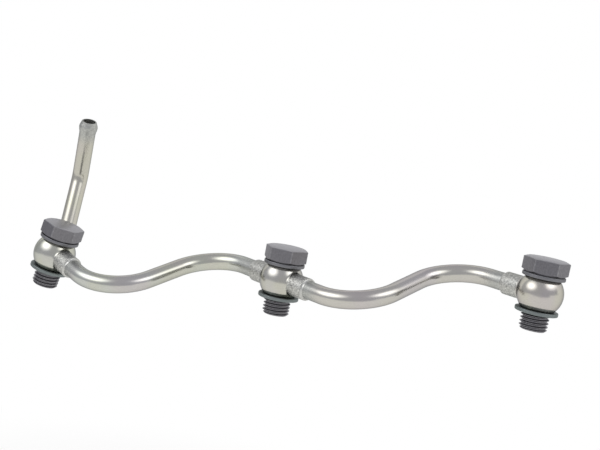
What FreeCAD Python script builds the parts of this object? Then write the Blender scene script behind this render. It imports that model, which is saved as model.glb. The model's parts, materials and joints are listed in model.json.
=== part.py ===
import FreeCAD, Part
import math
import os
from FreeCAD import Placement, Rotation, Vector

# Rigid steel fuel line with three ball shaped ring eyes, each held by a hollow bolt.
# Two S bent tubes join the eyes, and a third tube climbs from the left eye to a hose tail.
# Millimetres. The origin is the centre of the middle port face, where the middle lower
# washer seals, and +Z is the middle bolt's axis. +X runs to the right eye.

# Where the eyes stand
EYE_PITCH = 110.5
LEFT_DROP = 12.5
LEFT_LEAN_ANGLE = 10.5
RIGHT_RISE = 19.2

# Ball shaped eye. Its size follows from its width and the flat land round its bore.
EYE_WIDTH = 13.6
EYE_LAND = 0.9
EYE_BORE_CLEARANCE = 0.1
EYE_BORE_CHAMFER = 0.4
STUB_WALL = 0.95
STUB_REACH = 17.5
STUB_ROOT_FILLET = 1.6
STUB_AZIMUTH = 33.5
SOCKET_DEPTH = 7.5

# Tube
TUBE_D = 8.0
TUBE_WALL = 1.0
BRAZE_GAP = 0.05
BEND_R = 21.0
CORNER_PAST_STUB = 31.5

# Tail tube, in the left eye's own frame
TAIL_AZIMUTH = 110.0
TAIL_FIRST_STRAIGHT = 4.9
TAIL_BEND_R = 12.0
TAIL_LOWER_LEG = 33.7
TAIL_LOWER_LEAN_ANGLE_X = -15.1
TAIL_LOWER_LEAN_ANGLE_Y = 20.0
TAIL_UPPER_LEG = 30.5
TAIL_UPPER_LEAN_ANGLE_X = -2.4
TAIL_UPPER_LEAN_ANGLE_Y = -16.0
TAIL_KNEE_R = 12.0

# Hose bead at the tail's open end
BEAD_RISE = 0.55
BEAD_LENGTH = 6.5
BEAD_CREST = 3.0
NOSE_TAPER = 0.3

# Hollow bolt
THREAD_D = 12.0
BOLT_REACH = 7.4
THREAD_CHAMFER = 0.9
NECK_DEPTH = 0.6
PILOT_CLEARANCE = 0.05
PILOT_LENGTH = 2.5
HEX_FLATS = 17.0
HEAD_HEIGHT = 6.6
HEAD_FACE_INSET = 0.4
HEAD_FACE_HEIGHT = 0.3
HEX_CHAMFER_ANGLE = 20.0
BOLT_BORE_D = 7.0
BORE_PAST_CROSS_HOLE = 3.0
DRILL_POINT_ANGLE = 118.0
CROSS_HOLE_D = 4.0

# How far each bolt stands turned about its own axis
LEFT_BOLT_ANGLE = 30.0
MIDDLE_BOLT_ANGLE = -1.0
RIGHT_BOLT_ANGLE = 1.5

# Sealing washer
WASHER_D = 18.2
WASHER_T = 1.5
WASHER_CLEARANCE = 0.1
WASHER_EDGE_CHAMFER = 0.3

# Braze ring at each stub's mouth
BRAZE_INSET = 0.2
BRAZE_RUN = 1.1
BRAZE_EDGE = 0.12
BRAZE_HOLLOW = 0.4

# Places that follow from those sizes, in an eye's own frame
EYE_TOP = EYE_WIDTH / 2
EYE_BOTTOM = -EYE_WIDTH / 2
HEAD_SEAT = EYE_TOP + WASHER_T
PORT_FACE = EYE_BOTTOM - WASHER_T
BOLT_END = PORT_FACE - BOLT_REACH
HEAD_TOP = HEAD_SEAT + HEAD_HEIGHT
THREAD_R = THREAD_D / 2
EYE_BORE_R = THREAD_R + EYE_BORE_CLEARANCE
BALL_R = math.hypot(EYE_BORE_R + EYE_LAND, EYE_TOP)
TUBE_R = TUBE_D / 2
TUBE_BORE_R = TUBE_R - TUBE_WALL
SOCKET_R = TUBE_R + BRAZE_GAP
STUB_R = SOCKET_R + STUB_WALL
SOCKET_FLOOR = STUB_REACH - SOCKET_DEPTH
CORNER_REACH = STUB_REACH + CORNER_PAST_STUB
OVERCUT = 1.0

UP = Vector(0, 0, 1)
ALONG_Y = Vector(0, 1, 0)


def level(azimuth):
    """Unit vector in an eye's level plane, at an angle from +X."""
    angle = math.radians(azimuth)
    return Vector(math.cos(angle), math.sin(angle), 0)


def leaning(lean_x, lean_y):
    """Unit vector that leans from +Z by an angle towards +X and another towards +Y."""
    return Vector(math.tan(math.radians(lean_x)), math.tan(math.radians(lean_y)), 1).normalize()


def eye_station(x, rise, lean):
    """Placement of an eye's centre, leaning towards +X by turning about Y."""
    return Placement(Vector(x, 0, rise - PORT_FACE), Rotation(ALONG_Y, lean))


STATIONS = {
    "left": eye_station(-EYE_PITCH, -LEFT_DROP, LEFT_LEAN_ANGLE),
    "middle": eye_station(0, 0, 0),
    "right": eye_station(EYE_PITCH, RIGHT_RISE, 0),
}

BOLT_ANGLES = {"left": LEFT_BOLT_ANGLE, "middle": MIDDLE_BOLT_ANGLE, "right": RIGHT_BOLT_ANGLE}

TO_RIGHT = level(-STUB_AZIMUTH)
TO_LEFT = level(180 - STUB_AZIMUTH)
TO_TAIL = level(TAIL_AZIMUTH)

STUBS = {
    "left": [TO_RIGHT, TO_TAIL],
    "middle": [TO_LEFT, TO_RIGHT],
    "right": [TO_LEFT],
}


def turned(outline):
    """Solid of revolution about Z from a closed outline of (radius, height) points."""
    points = [Vector(r, 0, z) for r, z in outline]
    face = Part.Face(Part.makePolygon(points + points[:1]))
    return face.revolve(Vector(0, 0, 0), UP, 360)


def rounded_route(points, radii):
    """Wire of straight runs through the points, with a tangent arc at each corner."""
    edges = []
    start = points[0]
    for before, corner, after, radius in zip(points, points[1:], points[2:], radii):
        back = (before - corner).normalize()
        ahead = (after - corner).normalize()
        half_turn = (math.pi - back.getAngle(ahead)) / 2
        setback = radius * math.tan(half_turn)
        inward = (back + ahead).normalize() * (radius / math.cos(half_turn) - radius)
        arc_start = corner + back * setback
        arc_end = corner + ahead * setback
        edges.append(Part.LineSegment(start, arc_start).toShape())
        edges.append(Part.Arc(arc_start, corner + inward, arc_end).toShape())
        start = arc_end
    edges.append(Part.LineSegment(start, points[-1]).toShape())
    return Part.Wire(edges)


def swept_round(route, start, direction, radius):
    """Solid round bar along a route."""
    section = Part.Wire([Part.Circle(start, direction, radius).toShape()])
    return route.makePipeShell([section], True, False)


def bent_tube(points, radii):
    """Tube along a route of corner points, open at both ends."""
    route = rounded_route(points, radii)
    direction = points[1] - points[0]
    wall = swept_round(route, points[0], direction, TUBE_R)
    bore = swept_round(route, points[0], direction, TUBE_BORE_R)
    return wall.cut(bore)


def eye(stubs):
    """Ball with two flats, its bolt bore, and a drilled stub for each tube."""
    blank = Part.makeSphere(BALL_R)
    for stub in stubs:
        blank = blank.fuse(Part.makeCylinder(STUB_R, STUB_REACH, Vector(0, 0, 0), stub))
    roots = [edge for edge in blank.Edges if is_stub_root(edge, stubs)]
    blank = blank.makeFillet(STUB_ROOT_FILLET, roots)
    slab = Part.makeCylinder(STUB_REACH * 2, EYE_WIDTH, Vector(0, 0, EYE_BOTTOM))
    body = blank.common(slab)
    body = body.cut(Part.makeCylinder(EYE_BORE_R, EYE_WIDTH, Vector(0, 0, EYE_BOTTOM)))
    for height, side in ((EYE_TOP, 1), (EYE_BOTTOM, -1)):
        body = body.cut(bore_chamfer(height, side))
    for stub in stubs:
        socket = Part.makeCylinder(SOCKET_R, SOCKET_DEPTH + OVERCUT, stub * SOCKET_FLOOR, stub)
        passage = Part.makeCylinder(TUBE_BORE_R, STUB_REACH, Vector(0, 0, 0), stub)
        body = body.cut(socket).cut(passage)
    return body


def is_stub_root(edge, stubs):
    """True for the closed edge where a stub leaves the ball."""
    root = math.sqrt(BALL_R ** 2 - STUB_R ** 2)
    return any((edge.CenterOfMass - stub * root).Length < STUB_ROOT_FILLET for stub in stubs)


def bore_chamfer(height, side):
    """Cone that breaks the bore's edge at one flat; side is the way out of the bore."""
    start = Vector(0, 0, height - side * EYE_BORE_CHAMFER)
    return Part.makeCone(
        EYE_BORE_R, EYE_BORE_R + EYE_BORE_CHAMFER, EYE_BORE_CHAMFER, start, UP * side
    )


def washer(bottom):
    """Flat sealing washer whose outer rim is broken at both faces."""
    top = bottom + WASHER_T
    bore_r = THREAD_R + WASHER_CLEARANCE
    rim_r = WASHER_D / 2
    face_r = rim_r - WASHER_EDGE_CHAMFER
    return turned([
        (bore_r, bottom), (face_r, bottom), (rim_r, bottom + WASHER_EDGE_CHAMFER),
        (rim_r, top - WASHER_EDGE_CHAMFER), (face_r, top), (bore_r, top),
    ])


def hex_head():
    """Hexagon head, chamfered at both ends, on a short turned face."""
    corner_r = HEX_FLATS / 2 / math.cos(math.radians(30))
    base = HEAD_SEAT + HEAD_FACE_HEIGHT
    corners = [
        Vector(corner_r * math.cos(math.radians(a)), corner_r * math.sin(math.radians(a)), base)
        for a in range(0, 361, 60)
    ]
    prism = Part.Face(Part.makePolygon(corners)).extrude(Vector(0, 0, HEAD_TOP - base))
    slope = math.tan(math.radians(HEX_CHAMFER_ANGLE))
    flat_r = HEX_FLATS / 2 - HEAD_FACE_INSET
    drop = (corner_r - flat_r) * slope
    barrel = turned([
        (0, base), (flat_r, base), (corner_r, base + drop),
        (corner_r, HEAD_TOP - drop), (flat_r, HEAD_TOP), (0, HEAD_TOP),
    ])
    face = Part.makeCylinder(flat_r, HEAD_FACE_HEIGHT, Vector(0, 0, HEAD_SEAT))
    return prism.common(barrel).fuse(face)


def hollow_bolt(turn):
    """Bolt with an axial bore from its thread end and two crossing holes at the eye."""
    tip_r = THREAD_R - THREAD_CHAMFER
    neck_r = THREAD_R - NECK_DEPTH
    pilot_r = THREAD_R - PILOT_CLEARANCE
    pilot_z = HEAD_SEAT - PILOT_LENGTH
    shank = turned([
        (0, BOLT_END), (tip_r, BOLT_END), (THREAD_R, BOLT_END + THREAD_CHAMFER),
        (THREAD_R, PORT_FACE), (neck_r, PORT_FACE),
        (neck_r, pilot_z), (pilot_r, pilot_z), (pilot_r, HEAD_SEAT), (0, HEAD_SEAT),
    ])
    bolt = hex_head().fuse(shank)
    bore_r = BOLT_BORE_D / 2
    bore_top = CROSS_HOLE_D / 2 + BORE_PAST_CROSS_HOLE
    point = bore_r / math.tan(math.radians(DRILL_POINT_ANGLE / 2))
    bolt = bolt.cut(turned([
        (0, BOLT_END - OVERCUT), (bore_r, BOLT_END - OVERCUT),
        (bore_r, bore_top), (0, bore_top + point),
    ]))
    for azimuth in (0, 90):
        across = level(azimuth)
        bolt = bolt.cut(Part.makeCylinder(CROSS_HOLE_D / 2, THREAD_D, across * -THREAD_R, across))
    bolt = bolt.removeSplitter()
    bolt.rotate(Vector(0, 0, 0), UP, turn)
    return bolt


def braze_ring(stub):
    """Hollowed fillet of braze between a stub's mouth and the tube, in the eye's frame."""
    outer = STUB_R - BRAZE_INSET
    hollow = (TUBE_R + (outer - TUBE_R) * BRAZE_HOLLOW, BRAZE_RUN * BRAZE_HOLLOW)
    ring = turned([
        (TUBE_R, 0), (outer, 0), (outer, BRAZE_EDGE), hollow,
        (TUBE_R + BRAZE_EDGE, BRAZE_RUN), (TUBE_R, BRAZE_RUN),
    ])
    ring.Placement = Placement(stub * STUB_REACH, Rotation(UP, stub))
    return ring


def span_tube(first, second):
    """S bent tube from one eye's right stub to the next eye's left stub."""
    points = [
        first.multVec(TO_RIGHT * SOCKET_FLOOR),
        first.multVec(TO_RIGHT * CORNER_REACH),
        second.multVec(TO_LEFT * CORNER_REACH),
        second.multVec(TO_LEFT * SOCKET_FLOOR),
    ]
    return bent_tube(points, [BEND_R, BEND_R])


def hose_bead():
    """Bulged end of the tail tube, standing on +Z with its open nose at BEAD_LENGTH."""
    crest_z = BEAD_LENGTH - BEAD_CREST
    root = Vector(TUBE_R, 0, 0)
    crest = Vector(TUBE_R + BEAD_RISE, 0, crest_z)
    nose = Vector(TUBE_R - NOSE_TAPER, 0, BEAD_LENGTH)
    outside = Part.BSplineCurve()
    outside.interpolate([root, crest, nose], InitialTangent=UP, FinalTangent=nose - crest)
    outline = Part.Wire([
        Part.LineSegment(Vector(TUBE_BORE_R, 0, 0), root).toShape(),
        outside.toShape(),
        Part.LineSegment(nose, Vector(TUBE_BORE_R, 0, BEAD_LENGTH)).toShape(),
        Part.LineSegment(Vector(TUBE_BORE_R, 0, BEAD_LENGTH), Vector(TUBE_BORE_R, 0, 0)).toShape(),
    ])
    return Part.Face(outline).revolve(Vector(0, 0, 0), UP, 360)


def tail_tube():
    """Tube from the left eye's rear stub, up behind the bolt head to its hose bead."""
    lower = leaning(TAIL_LOWER_LEAN_ANGLE_X, TAIL_LOWER_LEAN_ANGLE_Y)
    upper = leaning(TAIL_UPPER_LEAN_ANGLE_X, TAIL_UPPER_LEAN_ANGLE_Y)
    setback = TAIL_BEND_R * math.tan(TO_TAIL.getAngle(lower) / 2)
    corner = TO_TAIL * (STUB_REACH + TAIL_FIRST_STRAIGHT + setback)
    knee = corner + lower * TAIL_LOWER_LEG
    bead_root = knee + upper * (TAIL_UPPER_LEG - BEAD_LENGTH)
    tube = bent_tube([TO_TAIL * SOCKET_FLOOR, corner, knee, bead_root], [TAIL_BEND_R, TAIL_KNEE_R])
    bead = hose_bead()
    bead.Placement = Placement(bead_root, Rotation(UP, upper))
    return tube.fuse(bead)


def placed(shape, station):
    moved = shape.copy()
    moved.Placement = station.multiply(shape.Placement)
    return moved


def build():
    nodes = {}
    for side, station in STATIONS.items():
        nodes["eye_" + side] = placed(eye(STUBS[side]), station)
        nodes["hollow_bolt_" + side] = placed(hollow_bolt(BOLT_ANGLES[side]), station)
        nodes["upper_washer_" + side] = placed(washer(EYE_TOP), station)
        nodes["lower_washer_" + side] = placed(washer(PORT_FACE), station)
    brazed = {
        "left_tail": ("left", TO_TAIL),
        "left_span": ("left", TO_RIGHT),
        "middle_left": ("middle", TO_LEFT),
        "middle_right": ("middle", TO_RIGHT),
        "right_span": ("right", TO_LEFT),
    }
    for name, (side, stub) in brazed.items():
        nodes["braze_ring_" + name] = placed(braze_ring(stub), STATIONS[side])
    nodes["span_tube_left"] = span_tube(STATIONS["left"], STATIONS["middle"])
    nodes["span_tube_right"] = span_tube(STATIONS["middle"], STATIONS["right"])
    nodes["tail_tube"] = placed(tail_tube(), STATIONS["left"])
    return nodes


os.makedirs("parts", exist_ok=True)
for name, shape in build().items():
    shape.exportStep("parts/" + name + ".step")
    print(name, "valid", shape.isValid(), "solids", len(shape.Solids), "volume", round(shape.Volume, 2))
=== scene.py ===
# %% [markdown]
# # A steel fuel line, dressed
#
# The line is three ball shaped ring eyes on hollow bolts, joined by two S bent tubes, with a third
# tube that climbs to a hose bead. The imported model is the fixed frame. It holds every piece at its
# real size and place, and this file gives each piece the mesh and the finish of a close look:
# true thread, rounded edges, plated steel with its faint tints, and dark phosphate on the bolts.
# Blender works in metres, so each size below is written in millimetres and multiplied once.

# %% Load the frame and keep its box
import json
import math
import bpy
from mathutils import Matrix, Vector

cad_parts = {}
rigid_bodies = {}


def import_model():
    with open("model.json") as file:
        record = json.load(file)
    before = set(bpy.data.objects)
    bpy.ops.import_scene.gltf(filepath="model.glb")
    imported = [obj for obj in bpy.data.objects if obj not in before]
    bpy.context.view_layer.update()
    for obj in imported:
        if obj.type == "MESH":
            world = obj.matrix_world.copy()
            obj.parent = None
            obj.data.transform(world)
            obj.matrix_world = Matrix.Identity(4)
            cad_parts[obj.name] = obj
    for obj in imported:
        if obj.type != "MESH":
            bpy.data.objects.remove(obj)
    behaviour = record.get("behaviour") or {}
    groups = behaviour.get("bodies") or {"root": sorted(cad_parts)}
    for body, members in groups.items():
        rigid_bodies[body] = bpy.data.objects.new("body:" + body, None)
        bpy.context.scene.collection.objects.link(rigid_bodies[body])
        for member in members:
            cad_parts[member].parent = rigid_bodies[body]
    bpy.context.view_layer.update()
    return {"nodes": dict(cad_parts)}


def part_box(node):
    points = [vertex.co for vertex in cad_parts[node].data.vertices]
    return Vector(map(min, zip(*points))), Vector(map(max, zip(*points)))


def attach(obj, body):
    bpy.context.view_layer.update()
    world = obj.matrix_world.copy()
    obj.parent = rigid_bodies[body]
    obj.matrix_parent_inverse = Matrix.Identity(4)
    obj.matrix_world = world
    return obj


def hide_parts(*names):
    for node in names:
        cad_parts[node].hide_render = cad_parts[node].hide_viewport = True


bpy.ops.object.select_all(action="SELECT")
bpy.ops.object.delete()
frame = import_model()
print("nodes in the frame:", len(frame["nodes"]))

# %% [markdown]
# ## Sizes
# These are the driving sizes of the real line, the same ones that the solids were made from. Every
# piece is placed in the frame of the eye that it belongs to: the eye's centre is the origin there,
# and its bolt stands on Z. A placement matrix then carries it to where the eye stands on the engine.

# %% Sizes of the line
MM = 0.001

EYE_PITCH = 110.5 * MM
LEFT_DROP = 12.5 * MM
LEFT_LEAN = math.radians(10.5)
RIGHT_RISE = 19.2 * MM

THREAD_R = 6.0 * MM
TUBE_R = 4.0 * MM
TUBE_BORE_R = 3.0 * MM
BEND_R = 21.0 * MM

EYE_HALF_WIDTH = 6.8 * MM
EYE_LAND = 0.9 * MM
BOLT_CLEARANCE = 0.1 * MM
EYE_BORE_R = THREAD_R + BOLT_CLEARANCE
EYE_BORE_CHAMFER = 0.4 * MM
BALL_R = math.hypot(EYE_BORE_R + EYE_LAND, EYE_HALF_WIDTH)
BRAZE_GAP = 0.05 * MM
STUB_WALL = 0.95 * MM
SOCKET_R = TUBE_R + BRAZE_GAP
STUB_R = SOCKET_R + STUB_WALL
STUB_REACH = 17.5 * MM
STUB_AZIMUTH = math.radians(33.5)
SOCKET_DEPTH = 7.5 * MM
SOCKET_FLOOR = STUB_REACH - SOCKET_DEPTH
CORNER_PAST_STUB = 31.5 * MM
CORNER_REACH = STUB_REACH + CORNER_PAST_STUB

WASHER_R = 9.1 * MM
WASHER_BORE_R = THREAD_R + BOLT_CLEARANCE
WASHER_T = 1.5 * MM
PORT_FACE = -EYE_HALF_WIDTH - WASHER_T
HEAD_SEAT = EYE_HALF_WIDTH + WASHER_T
print("ball radius, mm:", round(BALL_R / MM, 2), " stub radius, mm:", round(STUB_R / MM, 2))

# %% [markdown]
# ## Where the eyes stand
# The middle port face is the origin. The left eye sits lower and leans, and the right eye sits
# higher, because the ports of the real engine are not in one plane.

# %% Placement of each eye
def eye_station(x, rise, lean):
    """Matrix from an eye's own frame to the line's frame."""
    return Matrix.Translation((x, 0, rise - PORT_FACE)) @ Matrix.Rotation(lean, 4, "Y")


def level(azimuth):
    """Unit vector in an eye's level plane, at an angle from X."""
    return Vector((math.cos(azimuth), math.sin(azimuth), 0))


STATIONS = {
    "left": eye_station(-EYE_PITCH, -LEFT_DROP, LEFT_LEAN),
    "middle": eye_station(0, 0, 0),
    "right": eye_station(EYE_PITCH, RIGHT_RISE, 0),
}
TAIL_AZIMUTH = math.radians(110.0)
TO_RIGHT = level(-STUB_AZIMUTH)
TO_LEFT = level(math.pi - STUB_AZIMUTH)
TO_TAIL = level(TAIL_AZIMUTH)
for side, station in STATIONS.items():
    print(side, "eye centre, mm:", [round(c / MM, 2) for c in station.translation])

# %% [markdown]
# ## Working as a lathe does
# Most of this line was turned. A turned piece is half its outline, spun round the axis, so the first
# helper draws a line point by point with extrude, and the second spins it. Doubles are merged after
# the spin, because the last profile lands on the first one and the axis points pile up.

# %% Helpers for drawing and turning
SPIN_STEPS = 96
MERGE_GAP = 1e-7
WIDE_MERGE_GAP = 1e-6


def start_fresh():
    """Object mode with nothing selected, so that an operator touches only what it should."""
    if bpy.context.mode != "OBJECT":
        bpy.ops.object.mode_set(mode="OBJECT")
    bpy.ops.object.select_all(action="DESELECT")


def pick(obj):
    """Makes one object the only selected and active one."""
    start_fresh()
    obj.select_set(True)
    bpy.context.view_layer.objects.active = obj


def drawn_line(name, points):
    """A line of edges through the points, drawn from one vertex by extruding it."""
    start_fresh()
    bpy.ops.mesh.primitive_plane_add(size=MM, location=points[0])
    line = bpy.context.object
    line.name = name
    bpy.ops.object.transform_apply(location=True)
    bpy.ops.object.mode_set(mode="EDIT")
    bpy.ops.mesh.select_mode(type="VERT")
    bpy.ops.mesh.select_all(action="SELECT")
    bpy.ops.mesh.merge(type="CENTER")
    for before, after in zip(points, points[1:]):
        step = Vector(after) - Vector(before)
        bpy.ops.mesh.extrude_region_move(TRANSFORM_OT_translate={"value": step})
    return line


def close_up(threshold=MERGE_GAP):
    """Merges what lies together in the edited mesh, points all faces outwards and ends the edit."""
    bpy.ops.mesh.select_all(action="SELECT")
    bpy.ops.mesh.remove_doubles(threshold=threshold)
    bpy.ops.mesh.normals_make_consistent(inside=False)
    bpy.ops.object.mode_set(mode="OBJECT")


def turned(name, outline):
    """A turned piece on Z, from its outline of (radius, height) points."""
    piece = drawn_line(name, [(r, 0, z) for r, z in outline])
    bpy.ops.mesh.select_all(action="SELECT")
    bpy.ops.mesh.spin(steps=SPIN_STEPS, angle=2 * math.pi, center=(0, 0, 0), axis=(0, 0, 1))
    close_up()
    return piece


def arc(centre, radius, start, end, steps):
    """Points on an arc in the outline's plane, angles in degrees from the radius direction."""
    angles = [math.radians(start + (end - start) * i / steps) for i in range(steps + 1)]
    return [(centre[0] + radius * math.cos(a), centre[1] + radius * math.sin(a)) for a in angles]


def apply_modifier(obj, kind, **settings):
    """Adds a modifier, sets it and applies it at once."""
    pick(obj)
    modifier = obj.modifiers.new(kind.title(), kind)
    for key, value in settings.items():
        setattr(modifier, key, value)
    bpy.ops.object.modifier_apply(modifier=modifier.name)


def cut_by(obj, cutter, operation="DIFFERENCE"):
    """Exact boolean with a second mesh, which is used up."""
    apply_modifier(obj, "BOOLEAN", operation=operation, object=cutter, solver="EXACT")
    bpy.data.objects.remove(cutter)


def smooth(obj, angle=30):
    """Smooth shading that keeps edges sharper than the angle crisp."""
    pick(obj)
    bpy.ops.object.shade_smooth_by_angle(angle=math.radians(angle))


def report(obj):
    """Prints what was made, so that a mistake shows at once."""
    size = [round(d / MM, 2) for d in obj.dimensions]
    print(obj.name, "faces", len(obj.data.polygons), "size mm", size)


# %% [markdown]
# ## The ball shaped eye
# The real eye is turned from bar: a ball with a stub for each tube. A ball is round about any axis,
# so ball, root fillet, stub and socket are all one outline spun about the stub's axis. That gives a
# perfect fillet with no boolean. Where an eye has two stubs, the half with one stub is cut by the
# plane that halves the angle between them and mirrored across it. The two flats are then planed
# off, and the bolt's hole is bored last.

# %% Outline of ball, stub and socket
ROOT_FILLET = 1.6 * MM
MOUTH_ROUND = 0.3 * MM
BALL_STEPS = 44
ROOT_STEPS = 6
MOUTH_STEPS = 4
PASSAGE_START = 2.0 * MM


def ball_and_stub(name):
    """Ball centred on the origin with one stub along Z, drilled for its tube."""
    fillet_r = STUB_R + ROOT_FILLET
    fillet_z = math.sqrt((BALL_R + ROOT_FILLET) ** 2 - fillet_r ** 2)
    touch = math.degrees(math.atan2(fillet_z, fillet_r))
    ball = [(0, -BALL_R)] + arc((0, 0), BALL_R, -90, touch, BALL_STEPS)[1:]
    root = arc((fillet_r, fillet_z), ROOT_FILLET, 180 + touch, 180, ROOT_STEPS)
    mouth = arc((STUB_R - MOUTH_ROUND, STUB_REACH - MOUTH_ROUND), MOUTH_ROUND, 0, 90, MOUTH_STEPS)
    inside = [
        (SOCKET_R, STUB_REACH), (SOCKET_R, SOCKET_FLOOR),
        (TUBE_BORE_R, SOCKET_FLOOR), (TUBE_BORE_R, PASSAGE_START), (0, PASSAGE_START),
    ]
    return turned(name, ball + root[1:] + mouth + inside)


def plane_off(obj, point, normal, fill):
    """Cuts away what lies beyond a plane."""
    pick(obj)
    bpy.ops.object.mode_set(mode="EDIT")
    bpy.ops.mesh.select_all(action="SELECT")
    bpy.ops.mesh.bisect(
        plane_co=point, plane_no=normal, use_fill=fill, clear_outer=True, threshold=MERGE_GAP
    )
    bpy.ops.object.mode_set(mode="OBJECT")


def lay_down(obj, matrix):
    """Moves the mesh by a matrix and leaves the object at the origin."""
    pick(obj)
    obj.matrix_world = matrix @ obj.matrix_world
    bpy.ops.object.transform_apply(location=True, rotation=True, scale=True)


def eye(name, stub_azimuths):
    """Eye in its own frame, with a stub at each azimuth."""
    piece = ball_and_stub(name)
    upright_to_x = Matrix.Rotation(math.pi / 2, 4, "Y")
    lay_down(piece, upright_to_x)
    if len(stub_azimuths) == 2:
        first, second = stub_azimuths
        half = (second - first) / 2
        lay_down(piece, Matrix.Rotation(math.pi / 2 - half, 4, "Z"))
        plane_off(piece, (0, 0, 0), (-1, 0, 0), fill=False)
        apply_modifier(piece, "MIRROR", use_axis=(True, False, False), merge_threshold=WIDE_MERGE_GAP)
        lay_down(piece, Matrix.Rotation(first + half - math.pi / 2, 4, "Z"))
    else:
        lay_down(piece, Matrix.Rotation(stub_azimuths[0], 4, "Z"))
    plane_off(piece, (0, 0, EYE_HALF_WIDTH), (0, 0, 1), fill=True)
    plane_off(piece, (0, 0, -EYE_HALF_WIDTH), (0, 0, -1), fill=True)
    return piece


EYE_STUBS = {
    "left": [-STUB_AZIMUTH, TAIL_AZIMUTH],
    "middle": [-STUB_AZIMUTH, math.pi - STUB_AZIMUTH],
    "right": [math.pi - STUB_AZIMUTH],
}
made = {}
for side, azimuths in EYE_STUBS.items():
    made["eye_" + side] = eye("eye_" + side + "_turned", azimuths)
    report(made["eye_" + side])

# %% [markdown]
# ## Boring the eye
# The bolt passes with 0.1 mm all round. The drill for it is a turned cutter whose ends flare, so one
# boolean leaves the hole and both its chamfers.

# %% Bore each eye for its bolt
CUT_PAST = 1.0 * MM


def bore_cutter():
    """Round cutter with a flare at each flat of the eye."""
    flat, past = EYE_HALF_WIDTH, EYE_HALF_WIDTH + CUT_PAST
    narrow = EYE_BORE_R
    wide = EYE_BORE_R + EYE_BORE_CHAMFER + CUT_PAST
    chamfer = flat - EYE_BORE_CHAMFER
    return turned("bore_cutter", [
        (0, -past), (wide, -past), (narrow, -chamfer), (narrow, chamfer), (wide, past), (0, past),
    ])


for side in EYE_STUBS:
    cut_by(made["eye_" + side], bore_cutter())
    smooth(made["eye_" + side])
    report(made["eye_" + side])

# %% [markdown]
# ## The hollow bolt's head
# A hexagon head is a bar of hexagon section that was turned at both ends. Its corners are rounded
# first, as drawn bar is, and then a turned barrel is intersected with it. The barrel's cones leave
# the curved edges that every real hexagon head has on its flats.

# %% Hexagon head
HEX_FLATS = 17.0 * MM
HEAD_HEIGHT = 6.6 * MM
HEAD_TOP = HEAD_SEAT + HEAD_HEIGHT
HEAD_FACE_R = HEX_FLATS / 2 - 0.4 * MM
HEAD_FACE_HEIGHT = 0.3 * MM
HEX_CORNER_ROUND = 0.18 * MM
HEX_CORNER_STEPS = 3
HEX_HALF_SIDE = math.radians(30)
HEX_CHAMFER_SLOPE = math.tan(math.radians(20))
BARREL_MARGIN = 0.6 * MM


def hex_head(name):
    """Hexagon head with rounded corners and turned chamfers, in the eye's frame."""
    base = HEAD_SEAT + HEAD_FACE_HEIGHT
    corner_r = HEX_FLATS / 2 / math.cos(HEX_HALF_SIDE)
    start_fresh()
    bpy.ops.mesh.primitive_cylinder_add(
        vertices=6, radius=corner_r, depth=HEAD_TOP - base,
        location=(0, 0, (HEAD_TOP + base) / 2), rotation=(0, 0, HEX_HALF_SIDE),
    )
    head = bpy.context.object
    head.name = name
    bpy.ops.object.transform_apply(location=True, rotation=True)
    select_upright_edges(head)
    bpy.ops.mesh.bevel(offset=HEX_CORNER_ROUND, segments=HEX_CORNER_STEPS, affect="EDGES")
    bpy.ops.object.mode_set(mode="OBJECT")
    outer = corner_r + BARREL_MARGIN
    drop = (outer - HEAD_FACE_R) * HEX_CHAMFER_SLOPE
    barrel = turned("head_barrel", [
        (0, base), (HEAD_FACE_R, base), (outer, base + drop),
        (outer, HEAD_TOP - drop), (HEAD_FACE_R, HEAD_TOP), (0, HEAD_TOP),
    ])
    cut_by(head, barrel, "INTERSECT")
    return head


def select_upright_edges(obj):
    """Edit mode with just the edges selected that run up the bar."""
    pick(obj)
    bpy.ops.object.mode_set(mode="EDIT")
    bpy.ops.mesh.select_mode(type="EDGE")
    bpy.ops.mesh.select_all(action="DESELECT")
    bpy.ops.object.mode_set(mode="OBJECT")
    for edge in obj.data.edges:
        low, high = (obj.data.vertices[i].co for i in edge.vertices)
        edge.select = abs(low.z - high.z) > HEAD_HEIGHT / 2
    bpy.ops.object.mode_set(mode="EDIT")


bolt = hex_head("hollow_bolt_master")
report(bolt)

# %% [markdown]
# ## The thread
# M12 with a pitch of 1.5 mm. One pitch of the thread's outline is drawn as a line and the Screw
# modifier winds it up the axis, so that crest and root are one real helix. Both ends are cut square,
# and a coned barrel turns the lead-in chamfer, which leaves the first turn thin as a die does.

# %% Threaded shank
THREAD_PITCH = 1.5 * MM
THREAD_DEPTH = 0.92 * MM
BOLT_REACH = 7.4 * MM
THREAD_CHAMFER = 0.9 * MM
BOLT_END = PORT_FACE - BOLT_REACH
THREAD_STEPS = 64
SPARE_TURNS = 3


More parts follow.
